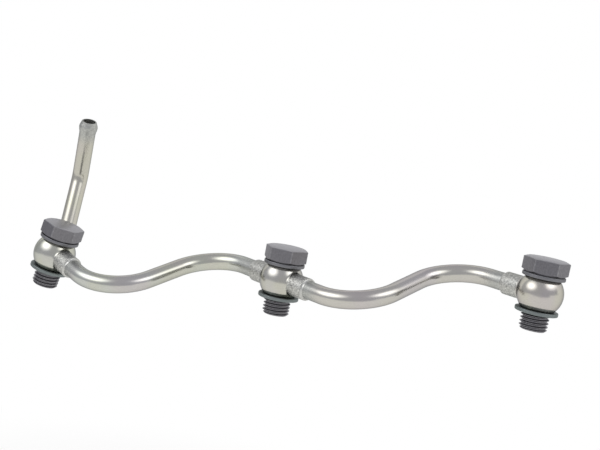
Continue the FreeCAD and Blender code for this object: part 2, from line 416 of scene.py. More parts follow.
def threaded_rod(name):
    """Threaded length of the bolt, with square ends and a coned lead-in."""
    root_r = THREAD_R - THREAD_DEPTH
    half_root = crest = THREAD_PITCH / 8
    flank = (THREAD_PITCH - 2 * half_root - crest) / 2
    start = BOLT_END - THREAD_PITCH
    crest_start = half_root + flank
    heights = [0, half_root, crest_start, crest_start + crest, THREAD_PITCH - half_root, THREAD_PITCH]
    radii = [root_r, root_r, THREAD_R, THREAD_R, root_r, root_r]
    rod = drawn_line(name, [(r, 0, start + h) for r, h in zip(radii, heights)])
    bpy.ops.object.mode_set(mode="OBJECT")
    turns = math.ceil(BOLT_REACH / THREAD_PITCH) + SPARE_TURNS
    apply_modifier(
        rod, "SCREW", angle=2 * math.pi, screw_offset=THREAD_PITCH, iterations=turns,
        steps=THREAD_STEPS, render_steps=THREAD_STEPS, use_merge_vertices=True,
        merge_threshold=WIDE_MERGE_GAP,
    )
    plane_off(rod, (0, 0, BOLT_END), (0, 0, -1), fill=True)
    plane_off(rod, (0, 0, PORT_FACE), (0, 0, 1), fill=True)
    pick(rod)
    bpy.ops.object.mode_set(mode="EDIT")
    close_up()
    wide = THREAD_R + CUT_PAST
    tip_r = THREAD_R - THREAD_CHAMFER
    lead_in = turned("lead_in", [
        (0, BOLT_END), (tip_r, BOLT_END), (wide, BOLT_END + THREAD_CHAMFER + CUT_PAST),
        (wide, PORT_FACE + CUT_PAST), (0, PORT_FACE + CUT_PAST),
    ])
    cut_by(rod, lead_in, "INTERSECT")
    return rod


rod = threaded_rod("thread")
report(rod)

# %% [markdown]
# ## The bolt's neck and its bores
# Inside the eye the shank is necked down, which leaves a ring of room for the fuel. Fuel climbs the
# axial bore from the thread end and leaves through two crossing holes at the eye's middle. The neck
# is turned, joined to head and thread, and then drilled like the real one.

# %% Neck, union and drilling
NECK_R = THREAD_R - 0.6 * MM
PILOT_R = THREAD_R - 0.05 * MM
PILOT_LENGTH = 2.5 * MM
BOLT_BORE_R = 3.5 * MM
BORE_TOP = 5.0 * MM
DRILL_POINT_ANGLE = math.radians(118)
CROSS_HOLE_R = 2.0 * MM
CROSS_HOLE_STEPS = 48
SUNK = 0.5 * MM


def neck(name):
    """Turned shank between thread and head, sunk a little into both."""
    pilot_z = HEAD_SEAT - PILOT_LENGTH
    return turned(name, [
        (0, PORT_FACE - SUNK), (NECK_R - SUNK, PORT_FACE - SUNK), (NECK_R, PORT_FACE),
        (NECK_R, pilot_z), (PILOT_R, pilot_z), (PILOT_R, HEAD_SEAT),
        (HEAD_FACE_R, HEAD_SEAT), (HEAD_FACE_R, HEAD_SEAT + HEAD_FACE_HEIGHT),
        (HEAD_FACE_R - SUNK, HEAD_SEAT + HEAD_FACE_HEIGHT + SUNK), (0, HEAD_SEAT + HEAD_FACE_HEIGHT + SUNK),
    ])


def drill(name):
    """Drill of the axial bore, with its point."""
    point = BOLT_BORE_R / math.tan(DRILL_POINT_ANGLE / 2)
    low = BOLT_END - CUT_PAST
    return turned(name, [
        (0, low), (BOLT_BORE_R, low), (BOLT_BORE_R, BORE_TOP), (0, BORE_TOP + point),
    ])


cut_by(bolt, neck("neck"), "UNION")
cut_by(bolt, rod, "UNION")
cut_by(bolt, drill("drill"))
for across in ((math.pi / 2, 0, 0), (0, math.pi / 2, 0)):
    start_fresh()
    bpy.ops.mesh.primitive_cylinder_add(
        vertices=CROSS_HOLE_STEPS, radius=CROSS_HOLE_R, depth=THREAD_R * 2.5, rotation=across
    )
    cut_by(bolt, bpy.context.object)
pick(bolt)
bpy.ops.object.mode_set(mode="EDIT")
close_up(WIDE_MERGE_GAP)
smooth(bolt)
report(bolt)

# %% [markdown]
# ## Sealing washers and braze
# Both are small turned rings. A washer's rim is rounded by the press that cut it. The braze is a
# concave fillet that the filler drew between the stub's mouth and the tube.

# %% Washer and braze ring
WASHER_ROUND = 0.32 * MM
WASHER_ROUND_STEPS = 5
BRAZE_INSET = 0.2 * MM
BRAZE_RUN = 1.1 * MM
BRAZE_HOLLOW = 0.88
BRAZE_STEPS = 8


def washer(name):
    """Sealing washer that stands on the level Z = 0."""
    rim = WASHER_R - WASHER_ROUND
    low = arc((rim, WASHER_ROUND), WASHER_ROUND, -90, 0, WASHER_ROUND_STEPS)
    high = arc((rim, WASHER_T - WASHER_ROUND), WASHER_ROUND, 0, 90, WASHER_ROUND_STEPS)
    outline = [(WASHER_BORE_R, 0)] + low + high + [(WASHER_BORE_R, WASHER_T), (WASHER_BORE_R, 0)]
    ring = turned(name, outline)
    smooth(ring, 40)
    return ring


def braze(name):
    """Braze fillet on the level Z = 0, round a tube on Z."""
    width = STUB_R - BRAZE_INSET - TUBE_R
    curve = [
        (TUBE_R + width * (1 - BRAZE_HOLLOW * math.sin(a)), BRAZE_RUN * (1 - math.cos(a)))
        for a in (math.pi / 2 * i / BRAZE_STEPS for i in range(BRAZE_STEPS + 1))
    ]
    ring = turned(name, [(TUBE_R, 0)] + curve + [(TUBE_R, BRAZE_RUN), (TUBE_R, 0)])
    smooth(ring, 60)
    return ring


washer_master = washer("washer_master")
braze_master = braze("braze_master")
report(washer_master)
report(braze_master)

# %% [markdown]
# ## The bent tubes
# A tube bender knows two moves: feed the tube straight on, or swing it round a former. The helper
# works the same way. It starts with one ring of edges, extrudes it for each feed and spins it for
# each bend. At the far end the ring shrinks to the bore and goes back by the same moves, so that
# wall, bore and both rims are one closed skin of the real thickness.

# %% Helpers for bending
RING_POINTS = 64
FEED_STEP = 3.0 * MM
BEND_STEP = math.radians(3)


def bender_moves(corners, radii):
    """Feeds and bends that follow the corner points."""
    moves = []
    at = corners[0]
    for before, corner, after, radius in zip(corners, corners[1:], corners[2:], radii):
        back = (before - corner).normalized()
        ahead = (after - corner).normalized()
        turn = math.pi - back.angle(ahead)
        setback = radius * math.tan(turn / 2)
        inward = (back + ahead).normalized()
        centre = corner + inward * radius / math.cos(turn / 2)
        moves.append((feed, [corner + back * setback - at]))
        moves.append((swing, [centre, ahead.cross(back).normalized(), turn]))
        at = corner + ahead * setback
    moves.append((feed, [corners[-1] - at]))
    return moves


def feed(step):
    """Extrudes the selected ring straight on, in lengths of a few millimetres."""
    parts = max(1, math.ceil(step.length / FEED_STEP))
    for _ in range(parts):
        bpy.ops.mesh.extrude_region_move(TRANSFORM_OT_translate={"value": step / parts})


def swing(centre, axis, turn):
    """Spins the selected ring round a bend. The operator's own angle runs clockwise."""
    bpy.ops.mesh.spin(steps=math.ceil(abs(turn) / BEND_STEP), angle=-turn, center=centre, axis=axis)


def run(moves):
    """Feeds and bends the selected ring along a route."""
    for move, values in moves:
        move(*values)


def reversed_moves(moves):
    """The same route walked back. The last value of a move is its step or its turn."""
    return [(move, values[:-1] + [-values[-1]]) for move, values in reversed(moves)]


def resized_ring(centre, factor, step=Vector((0, 0, 0))):
    """One more ring, moved by a step and scaled about its own centre."""
    bpy.ops.mesh.extrude_region_move(TRANSFORM_OT_translate={"value": step})
    bpy.ops.transform.resize(value=(factor, factor, factor), center_override=centre)


def first_ring(name, centre, direction, radius):
    """A ring of edges square to a direction, in edit mode."""
    start_fresh()
    turn = direction.to_track_quat("Z", "Y").to_euler()
    bpy.ops.mesh.primitive_circle_add(
        vertices=RING_POINTS, radius=radius, location=centre, rotation=turn, fill_type="NOTHING"
    )
    ring = bpy.context.object
    ring.name = name
    bpy.ops.object.transform_apply(location=True, rotation=True)
    bpy.ops.object.mode_set(mode="EDIT")
    bpy.ops.mesh.select_all(action="SELECT")
    return ring


# %% Span tubes
def span_tube(name, first, second):
    """S bent tube from one eye's right stub to the next eye's left stub."""
    corners = [
        first @ (TO_RIGHT * SOCKET_FLOOR), first @ (TO_RIGHT * CORNER_REACH),
        second @ (TO_LEFT * CORNER_REACH), second @ (TO_LEFT * SOCKET_FLOOR),
    ]
    moves = bender_moves(corners, [BEND_R, BEND_R])
    tube = first_ring(name, corners[0], corners[1] - corners[0], TUBE_R)
    run(moves)
    resized_ring(corners[-1], TUBE_BORE_R / TUBE_R)
    run(reversed_moves(moves))
    resized_ring(corners[0], TUBE_R / TUBE_BORE_R)
    close_up(WIDE_MERGE_GAP)
    smooth(tube, 40)
    return tube


for name, first, second in (("span_tube_left", "left", "middle"), ("span_tube_right", "middle", "right")):
    made[name] = span_tube(name + "_bent", STATIONS[first], STATIONS[second])
    report(made[name])

# %% [markdown]
# ## The tail tube
# It is bent in the left eye's own frame: a tight bend upwards, a lower leg that leans back, a knee,
# an upper leg that leans forward again, and then the bead that holds a hose. The bead is drawn on by
# small feeds, each with the ring resized. Its lip is rounded before the bore goes back.

# %% Tail tube with its hose bead
TAIL_FIRST_STRAIGHT = 4.9 * MM
TAIL_BEND_R = 12.0 * MM
TAIL_KNEE_R = 12.0 * MM
TAIL_LOWER_LEG = 33.7 * MM
TAIL_UPPER_LEG = 30.5 * MM
TAIL_LOWER_LEAN = (-15.1, 20.0)
TAIL_UPPER_LEAN = (-2.4, -16.0)
BEAD_LENGTH = 6.5 * MM
BEAD_CREST = 3.0 * MM
BEAD_RISE = 0.55 * MM
NOSE_TAPER = 0.3 * MM
NOSE_SLOPE = -0.28
LIP_ROUND = 0.25 * MM
LIP_START_ANGLE = 20
LIP_STEPS = 4
BEAD_STEPS = 8


def leaning(lean_x, lean_y):
    """Unit vector that leans from Z by degrees towards X and towards Y."""
    return Vector((math.tan(math.radians(lean_x)), math.tan(math.radians(lean_y)), 1)).normalized()


def eased(start, end, end_slope, length):
    """Radii from start to end that leave level and arrive with a slope."""
    radii = []
    for i in range(1, BEAD_STEPS + 1):
        t = i / BEAD_STEPS
        blend = t * t * (3 - 2 * t)
        radii.append((start + (end - start) * blend + end_slope * length * (t ** 3 - t ** 2), length * t))
    return radii


def bead_outline():
    """(radius, height) points of the bead, from its root over the crest and the lip to the bore."""
    crest_r, crest_z = TUBE_R + BEAD_RISE, BEAD_LENGTH - BEAD_CREST
    nose_r, lip_z = TUBE_R - NOSE_TAPER, BEAD_LENGTH - LIP_ROUND
    swell = eased(TUBE_R, crest_r, 0, crest_z)
    taper = eased(crest_r, nose_r, NOSE_SLOPE, lip_z - crest_z)
    lip = arc((nose_r - LIP_ROUND, lip_z), LIP_ROUND, LIP_START_ANGLE, 90, LIP_STEPS)
    return swell + [(r, crest_z + z) for r, z in taper] + lip + [(TUBE_BORE_R, BEAD_LENGTH)]


def tail_corners(upper):
    """Corner points of the tail, from its socket to the root of the bead."""
    lower = leaning(*TAIL_LOWER_LEAN)
    setback = TAIL_BEND_R * math.tan(TO_TAIL.angle(lower) / 2)
    corner = TO_TAIL * (STUB_REACH + TAIL_FIRST_STRAIGHT + setback)
    knee = corner + lower * TAIL_LOWER_LEG
    return [TO_TAIL * SOCKET_FLOOR, corner, knee, knee + upper * (TAIL_UPPER_LEG - BEAD_LENGTH)]


def tail_tube(name):
    """Tail tube in the left eye's own frame."""
    upper = leaning(*TAIL_UPPER_LEAN)
    corners = tail_corners(upper)
    start, bead_root = corners[0], corners[-1]
    moves = bender_moves(corners, [TAIL_BEND_R, TAIL_KNEE_R])
    tube = first_ring(name, start, TO_TAIL, TUBE_R)
    run(moves)
    ring_r, height = TUBE_R, 0
    for radius, z in bead_outline():
        resized_ring(bead_root + upper * z, radius / ring_r, upper * (z - height))
        ring_r, height = radius, z
    run([(feed, [upper * -BEAD_LENGTH])] + reversed_moves(moves))
    resized_ring(start, TUBE_R / TUBE_BORE_R)
    close_up(WIDE_MERGE_GAP)
    smooth(tube, 40)
    return tube


made["tail_tube"] = tail_tube("tail_tube_bent")
report(made["tail_tube"])

# %% [markdown]
# ## Putting the pieces in place
# Each piece knows its own frame until now. Before it moves, its coordinates are stored in an
# attribute, so that wear on a hexagon's corners or grain in a turned face stays with the piece. Then
# its matrix is applied to the mesh, and the piece takes over from the node that it replaces.

# %% Copy, place and hand over
HOME = "home"
BOLT_ANGLES = {"left": math.radians(30), "middle": math.radians(-1), "right": math.radians(1.5)}


def keep_home(obj):
    """Stores the piece's own coordinates in millimetres."""
    attribute = obj.data.attributes.new(HOME, "FLOAT_VECTOR", "POINT")
    values = [c / MM for vertex in obj.data.vertices for c in vertex.co]
    attribute.data.foreach_set("vector", values)


def copy_of(obj, name):
    """A copy with a mesh of its own."""
    pick(obj)
    bpy.ops.object.duplicate(linked=False)
    twin = bpy.context.object
    twin.name = name
    twin.data.name = name
    return twin


def hand_over(obj, node):
    """The piece rides on the frame's body and stands for its node."""
    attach(obj, "root")
    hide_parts(node)


for piece in list(made.values()) + [bolt, washer_master, braze_master]:
    keep_home(piece)

for side, station in STATIONS.items():
    lay_down(made["eye_" + side], station)
    made["hollow_bolt_" + side] = copy_of(bolt, "hollow_bolt_" + side + "_made")
    lay_down(made["hollow_bolt_" + side], station @ Matrix.Rotation(BOLT_ANGLES[side], 4, "Z"))
    for place, seat in (("upper_washer_", EYE_HALF_WIDTH), ("lower_washer_", PORT_FACE)):
        made[place + side] = copy_of(washer_master, place + side + "_made")
        lay_down(made[place + side], station @ Matrix.Translation((0, 0, seat)))
lay_down(made["tail_tube"], STATIONS["left"])

BRAZED = {
    "left_tail": ("left", TO_TAIL), "left_span": ("left", TO_RIGHT),
    "middle_left": ("middle", TO_LEFT), "middle_right": ("middle", TO_RIGHT),
    "right_span": ("right", TO_LEFT),
}
for where, (side, stub) in BRAZED.items():
    ring = copy_of(braze_master, "braze_ring_" + where + "_made")
    upright_to_stub = stub.to_track_quat("Z", "Y").to_matrix().to_4x4()
    lay_down(ring, STATIONS[side] @ Matrix.Translation(stub * STUB_REACH) @ upright_to_stub)
    made["braze_ring_" + where] = ring
for master in (bolt, washer_master, braze_master):
    bpy.data.objects.remove(master)

for node, piece in made.items():
    hand_over(piece, node)
    low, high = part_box(node)
    mine = [f(corner[axis] for corner in piece.bound_box) for f in (min, max) for axis in range(3)]
    worst = max(abs(own - solid) for own, solid in zip(mine, [*low, *high]))
    print(node, "box differs from its solid by at most", round(worst / MM, 3), "mm")

# %% [markdown]
# ## Shared effects as node groups
# Each effect is a node group with named sockets, so that a number can be tuned where it is used.
# All patterns read either the object's own coordinates or the stored home coordinates. Nothing
# depends on the camera, so the finish stays on the metal from any side.

# %% Helpers for node trees
def new_group(name, inputs, outputs):
    """Empty node group with named sockets: its tree, what it is given and what it gives out."""
    tree = bpy.data.node_groups.new(name, "ShaderNodeTree")
    for socket, kind, value in inputs:
        made_socket = tree.interface.new_socket(name=socket, in_out="INPUT", socket_type=kind)
        if value is not None:
            made_socket.default_value = value
    for socket, kind in outputs:
        tree.interface.new_socket(name=socket, in_out="OUTPUT", socket_type=kind)
    return tree, tree.nodes.new("NodeGroupInput").outputs, tree.nodes.new("NodeGroupOutput").inputs


def add(tree, kind, inputs=None, **settings):
    """Adds a node, sets it, and links or sets each input by its name or number."""
    node = tree.nodes.new(kind)
    for key, value in settings.items():
        setattr(node, key, value)
    for key, value in (inputs or {}).items():
        if isinstance(value, bpy.types.NodeSocket):
            tree.links.new(value, node.inputs[key])
        else:
            node.inputs[key].default_value = value
    return node


def use(tree, group, inputs):
    """Adds a copy of a group node."""
    return add(tree, "ShaderNodeGroup", inputs, node_tree=group)


def maths(tree, operation, first, second=0.0):
    """Result of one sum."""
    return add(tree, "ShaderNodeMath", {0: first, 1: second}, operation=operation).outputs[0]


def rising(tree, value, start, end, top=1.0):
    """0 below the start, the top value above the end and smooth between them."""
    return add(tree, "ShaderNodeMapRange", {
        "Value": value, "From Min": start, "From Max": end, "To Max": top,
    }, interpolation_type="SMOOTHSTEP").outputs[0]


def mixed_value(tree, factor, low, high):
    """Number between two values by a factor."""
    return add(tree, "ShaderNodeMix", {"Factor": factor, 2: low, 3: high}).outputs[0]


def mixed_colour(tree, factor, low, high):
    """Colour between two colours by a factor."""
    return add(tree, "ShaderNodeMix", {"Factor": factor, 6: low, 7: high}, data_type="RGBA").outputs[2]


FLOAT, VECTOR, COLOR = "NodeSocketFloat", "NodeSocketVector", "NodeSocketColor"

# %% Plate tint: slow patches of straw and rose, as bright zinc has
ROSE_SHIFT = (0.31, 0.17, 0.53)
PATCH_FROM, PATCH_FULL = 0.42, 0.66
tint, given, out = new_group(
    "Plate tint",
    [("Vector", VECTOR, None), ("Metal", COLOR, None), ("Straw", COLOR, None), ("Rose", COLOR, None),
     ("Patch scale", FLOAT, 90.0), ("Straw amount", FLOAT, 0.5), ("Rose amount", FLOAT, 0.4)],
    [("Color", COLOR)],
)
straw_noise = add(tint, "ShaderNodeTexNoise", {
    "Vector": given["Vector"], "Scale": given["Patch scale"], "Detail": 1.5,
})
shifted = add(tint, "ShaderNodeVectorMath", {
    0: given["Vector"], 1: ROSE_SHIFT,
}, operation="ADD")
rose_noise = add(tint, "ShaderNodeTexNoise", {
    "Vector": shifted.outputs[0], "Scale": given["Patch scale"], "Detail": 1.5,
})
mixed = given["Metal"]
for noise, colour, amount in ((straw_noise, "Straw", "Straw amount"), (rose_noise, "Rose", "Rose amount")):
    patch = rising(tint, noise.outputs["Fac"], PATCH_FROM, PATCH_FULL, given[amount])
    mixed = mixed_colour(tint, patch, mixed, given[colour])
tint.links.new(mixed, out["Color"])

# %% Grain: fine noise between two values, for roughness
grain, given, out = new_group(
    "Grain",
    [("Vector", VECTOR, None), ("Scale", FLOAT, 2500.0), ("Low", FLOAT, 0.2), ("High", FLOAT, 0.3)],
    [("Value", FLOAT)],
)
noise = add(grain, "ShaderNodeTexNoise", {
    "Vector": given["Vector"], "Scale": given["Scale"], "Detail": 3.0, "Roughness": 0.6,
})
ranged = add(grain, "ShaderNodeMapRange", {
    "Value": noise.outputs["Fac"], "From Min": 0.3, "From Max": 0.7,
    "To Min": given["Low"], "To Max": given["High"],
})
grain.links.new(ranged.outputs[0], out["Value"])

# %% Away: how far a point lies from a place, faded from 0 at one distance to 1 at another
away, given, out = new_group(
    "Away",
    [("Vector", VECTOR, None), ("Place", VECTOR, None), ("Near", FLOAT, 0.0), ("Far", FLOAT, 1.0)],
    [("Fade", FLOAT)],
)
distance = add(away, "ShaderNodeVectorMath", {
    0: given["Vector"], 1: given["Place"],
}, operation="DISTANCE")
fade = rising(away, distance.outputs["Value"], given["Near"], given["Far"])
away.links.new(fade, out["Fade"])

# %% Skin: height of a rough skin, noise with rings round the origin
skin, given, out = new_group(
    "Skin",
    [("Vector", VECTOR, None), ("Noise scale", FLOAT, 2.2),
     ("Ring pitch", FLOAT, 0.7), ("Rings", FLOAT, 0.4)],
    [("Height", FLOAT)],
)
noise = add(skin, "ShaderNodeTexNoise", {
    "Vector": given["Vector"], "Scale": given["Noise scale"],
    "Detail": 4.0, "Roughness": 0.65,
})
length = add(skin, "ShaderNodeVectorMath", {0: given["Vector"]}, operation="LENGTH")
pitches = maths(skin, "DIVIDE", length.outputs["Value"], given["Ring pitch"])
wave = maths(skin, "SINE", maths(skin, "MULTIPLY", pitches, 2 * math.pi))
rings = maths(skin, "MULTIPLY", wave, given["Rings"])
skin.links.new(maths(skin, "ADD", noise.outputs["Fac"], rings), out["Height"])

# %% Bolt wear: 1 on the hexagon's corners and the thread's crests, in home millimetres
wear, given, out = new_group(
    "Bolt wear",
    [("Vector", VECTOR, None), ("Corner radius", FLOAT, 9.75), ("Corner width", FLOAT, 0.2),
     ("Crest radius", FLOAT, 5.95), ("Crest width", FLOAT, 0.35), ("Seat height", FLOAT, 0.0)],
    [("Wear", FLOAT)],
)
parts = add(wear, "ShaderNodeSeparateXYZ", {0: given["Vector"]})
flat = add(wear, "ShaderNodeCombineXYZ", {0: parts.outputs[0], 1: parts.outputs[1]})
radius = add(wear, "ShaderNodeVectorMath", {0: flat.outputs[0]}, operation="LENGTH")
masks = []
for name, test in (("Corner", "GREATER_THAN"), ("Crest", "LESS_THAN")):
    outer = given[name + " radius"]
    inner = maths(wear, "SUBTRACT", outer, given[name + " width"])
    edge = rising(wear, radius.outputs["Value"], inner, outer)
    on_its_side = maths(wear, test, parts.outputs[2], given["Seat height"])
    masks.append(maths(wear, "MULTIPLY", edge, on_its_side))
wear.links.new(maths(wear, "MAXIMUM", *masks), out["Wear"])
print("node groups:", [group.name for group in bpy.data.node_groups])

# %% [markdown]
# ## The finishes
# Bright zinc plate on eyes and tubes, a rough skin where the stub was not polished and where the
# braze was flame heated, dark phosphate on the bolts, and dull grey sealing washers. Distances
# count in millimetres, grain and spots per millimetre, and the patches of tint per metre.

# %% Helpers for a metal
STRAW = (0.545, 0.54, 0.41, 1)
ROSE = (0.53, 0.46, 0.485, 1)
SPOT_SCALE = 1.3
RING_PITCH = 0.8


def new_metal(name, edge_tint):
    """Material with a metallic Principled BSDF, and the stored home coordinates in millimetres."""
    material = bpy.data.materials.new(name)
    material.use_nodes = True
    tree = material.node_tree
    surface = tree.nodes["Principled BSDF"]
    surface.inputs["Metallic"].default_value = 1.0
    surface.inputs["Specular Tint"].default_value = edge_tint
    home = add(tree, "ShaderNodeAttribute", attribute_name=HOME).outputs["Vector"]
    return material, tree, surface, home


def connect(tree, source, surface, socket):
    """Links an output to one of the surface's sockets."""
    tree.links.new(source, surface.inputs[socket])


def tinted(tree, metal, patch_scale, straw_amount, rose_amount):
    """Plate colour with its slow patches, in the object's own coordinates."""
    return use(tree, tint, {
        "Vector": add(tree, "ShaderNodeTexCoord").outputs["Object"],
        "Metal": metal, "Straw": STRAW, "Rose": ROSE, "Patch scale": patch_scale,
        "Straw amount": straw_amount, "Rose amount": rose_amount,
    }).outputs["Color"]


def grainy(tree, home, scale, low, high):
    """Grain between two values."""
    return use(tree, grain, {"Vector": home, "Scale": scale, "Low": low, "High": high}).outputs["Value"]


def faded(tree, home, place, near, far):
    """0 up to one distance from a place and 1 from another on."""
    return use(tree, away, {"Vector": home, "Place": place, "Near": near, "Far": far}).outputs["Fade"]


def height_of(tree, home):
    """Height in the piece's own frame."""
    return add(tree, "ShaderNodeSeparateXYZ", {0: home}).outputs[2]


def roughened(tree, surface, home, noise_scale, distance, strength, rings=0.0):
    """Bump of the rough skin, fed to the surface's normal."""
    rough_skin = use(tree, skin, {
        "Vector": home, "Noise scale": noise_scale, "Ring pitch": RING_PITCH, "Rings": rings,
    })
    bump = add(tree, "ShaderNodeBump", {
        "Height": rough_skin.outputs["Height"], "Distance": distance, "Strength": strength,
    })
    connect(tree, bump.outputs[0], surface, "Normal")


def spotted(tree, home, dark, pale):
    """Mottled colour of a surface that was heated or coated and not polished."""
    return mixed_colour(tree, grainy(tree, home, SPOT_SCALE, 0.0, 1.0), dark, pale)


# %% Plate on the eyes
EDGE_TINT = (0.42, 0.43, 0.45, 1)
METAL = (0.525, 0.497, 0.465, 1)
GREENISH_EYE = (0.522, 0.525, 0.474, 1)
NEUTRAL_EYE = (0.518, 0.508, 0.467, 1)
STUB_DARK = (0.28, 0.28, 0.262, 1)
STUB_PALE = (0.73, 0.725, 0.675, 1)
# Near black, painted as shade: on the ball next to each washer, and on the bolt under the washers and the
# head.
PAINTED_SHADE = (0.05, 0.05, 0.052, 1)
EYE_PATCH_SCALE = 110.0
EYE_STRAW = 0.35
SKIN_FROM, SKIN_FULL = 9.85, 10.8
SHADE_FROM, SHADE_FULL = 5.9, 6.7
BALL_ROUGHNESS = (0.18, 0.23)
STUB_ROUGHNESS = (0.34, 0.5)
BALL_BUMP, STUB_BUMP = 0.015, 0.75
STUB_BUMP_DEPTH = 0.0002
STUB_RINGS = 0.11


def eye_plate(name, metal, rose_amount):
    """Polished ball, painted shade next to each washer, and mottled stubs beyond the ball."""
    material, tree, surface, home = new_metal(name, EDGE_TINT)
    ball = tinted(tree, metal, EYE_PATCH_SCALE, EYE_STRAW, rose_amount)
    on_stub = faded(tree, home, (0, 0, 0), SKIN_FROM, SKIN_FULL)
    skinned = mixed_colour(tree, on_stub, ball, spotted(tree, home, STUB_DARK, STUB_PALE))
    # Painted shade: the ball is painted near black close to each flat, where the washer shades it.
    painted_shade = rising(tree, maths(tree, "ABSOLUTE", height_of(tree, home)), SHADE_FROM, SHADE_FULL)
    connect(tree, mixed_colour(tree, painted_shade, skinned, PAINTED_SHADE), surface, "Base Color")
    fine = grainy(tree, home, 3.0, *BALL_ROUGHNESS)
    coarse = grainy(tree, home, 2.0, *STUB_ROUGHNESS)
    connect(tree, mixed_value(tree, on_stub, fine, coarse), surface, "Roughness")
    bumpiness = mixed_value(tree, on_stub, BALL_BUMP, STUB_BUMP)
    roughened(tree, surface, home, 1.6, STUB_BUMP_DEPTH, bumpiness, STUB_RINGS)
    return material


# %% Plate on the tubes
GREENISH = (0.53, 0.54, 0.50, 1)
YELLOWED = (0.53, 0.515, 0.445, 1)
ROSY = (0.535, 0.512, 0.495, 1)
MATTE_DARK = (0.35, 0.355, 0.335, 1)
MATTE_PALE = (0.53, 0.535, 0.5, 1)
TUBE_PATCH_SCALE = 45.0
TUBE_ROSE = 0.4
TUBE_ROUGHNESS = (0.19, 0.25)
MATTE_ROUGHNESS = (0.32, 0.46)
TUBE_BUMP, MATTE_BUMP = 0.03, 0.35
FINE_BUMP_DEPTH = 0.0001
MATTE_UP_TO = 4.0


def tube_plate(name, metal, straw_amount, places, clear_from):
    """Smooth tube that turns matte near the given places, in home millimetres."""
    material, tree, surface, home = new_metal(name, EDGE_TINT)
    plate = tinted(tree, metal, TUBE_PATCH_SCALE, straw_amount, TUBE_ROSE)
    clear = maths(tree, "MULTIPLY", *(
        faded(tree, home, place, MATTE_UP_TO, clear_from) for place in places))
    matte = spotted(tree, home, MATTE_DARK, MATTE_PALE)
    connect(tree, mixed_colour(tree, clear, matte, plate), surface, "Base Color")
    fine = grainy(tree, home, 2.5, *TUBE_ROUGHNESS)
    coarse = grainy(tree, home, 1.8, *MATTE_ROUGHNESS)
    connect(tree, mixed_value(tree, clear, coarse, fine), surface, "Roughness")
    bumpiness = mixed_value(tree, clear, MATTE_BUMP, TUBE_BUMP)
    roughened(tree, surface, home, 2.0, FINE_BUMP_DEPTH, bumpiness)
    return material


# %% Braze, bolts and washers
PHOSPHATE_DARK = (0.165, 0.16, 0.17, 1)
PHOSPHATE_PALE = (0.225, 0.22, 0.23, 1)
PHOSPHATE_LIT_TOP = (0.36, 0.355, 0.37, 1)
PHOSPHATE_EDGE_TINT = (0.7, 0.7, 0.72, 1)
PHOSPHATE_ROUGHNESS = (0.28, 0.4)
WEAR_AMOUNTS = (-0.12, 0.42)
BARE_STEEL = (0.5, 0.5, 0.51, 1)
BRAZE_COLOUR = (0.54, 0.538, 0.51, 1)
UPPER_WASHER_COLOUR = (0.21, 0.21, 0.22, 1)
LOWER_WASHER_COLOUR = (0.215, 0.24, 0.235, 1)
PLAIN_EDGE_TINT = (0.6, 0.6, 0.6, 1)


def plain_metal(name, colour, low, high, bumpiness):
    """One metal with grain all over."""
    material, tree, surface, home = new_metal(name, PLAIN_EDGE_TINT)
    surface.inputs["Base Color"].default_value = colour
    connect(tree, grainy(tree, home, 2.2, low, high), surface, "Roughness")
    roughened(tree, surface, home, 1.8, FINE_BUMP_DEPTH, bumpiness)
    return material


def bolt_phosphate():
    """Dark phosphate, rubbed on corners and crests, with painted light on the head's top and painted shade
    on the shank under the washers and the head.
    """
    material, tree, surface, home = new_metal("bolt_phosphate", PHOSPHATE_EDGE_TINT)
    surface.inputs["Metallic"].default_value = 0.95
    height = height_of(tree, home)
    # Painted light: the head's top face and the top of its chamfer are painted lighter, as the light from
    # above falls on them.
    top = rising(tree, height, HEAD_TOP / MM - 0.7, HEAD_TOP / MM - 0.2)
    coat = mixed_colour(tree, top, spotted(tree, home, PHOSPHATE_DARK, PHOSPHATE_PALE), PHOSPHATE_LIT_TOP)
    # Painted shade: from just below the lower washer up to the head's face, the bolt is painted near black.
    past_port = rising(tree, height, PORT_FACE / MM - 1.2, PORT_FACE / MM - 0.3)
    past_seat = rising(tree, height, HEAD_SEAT / MM, HEAD_SEAT / MM + 0.4)
    coat = mixed_colour(tree, maths(tree, "SUBTRACT", past_port, past_seat), coat, PAINTED_SHADE)
    worn = use(tree, wear, {"Vector": home}).outputs["Wear"]
    bared = maths(tree, "MULTIPLY", worn, grainy(tree, home, 1.1, *WEAR_AMOUNTS))
    connect(tree, mixed_colour(tree, bared, coat, BARE_STEEL), surface, "Base Color")
    connect(tree, grainy(tree, home, 3.0, *PHOSPHATE_ROUGHNESS), surface, "Roughness")
    roughened(tree, surface, home, 2.6, FINE_BUMP_DEPTH, 0.3)
    return material


# %% Give each piece its finish
def in_mm(point):
    """A place as plain numbers in millimetres."""
    return tuple(point / MM)


def stub_mouth(side, stub):
    """Where a stub's mouth stands in the line's frame, in millimetres."""
    return in_mm(STATIONS[side] @ (stub * STUB_REACH))


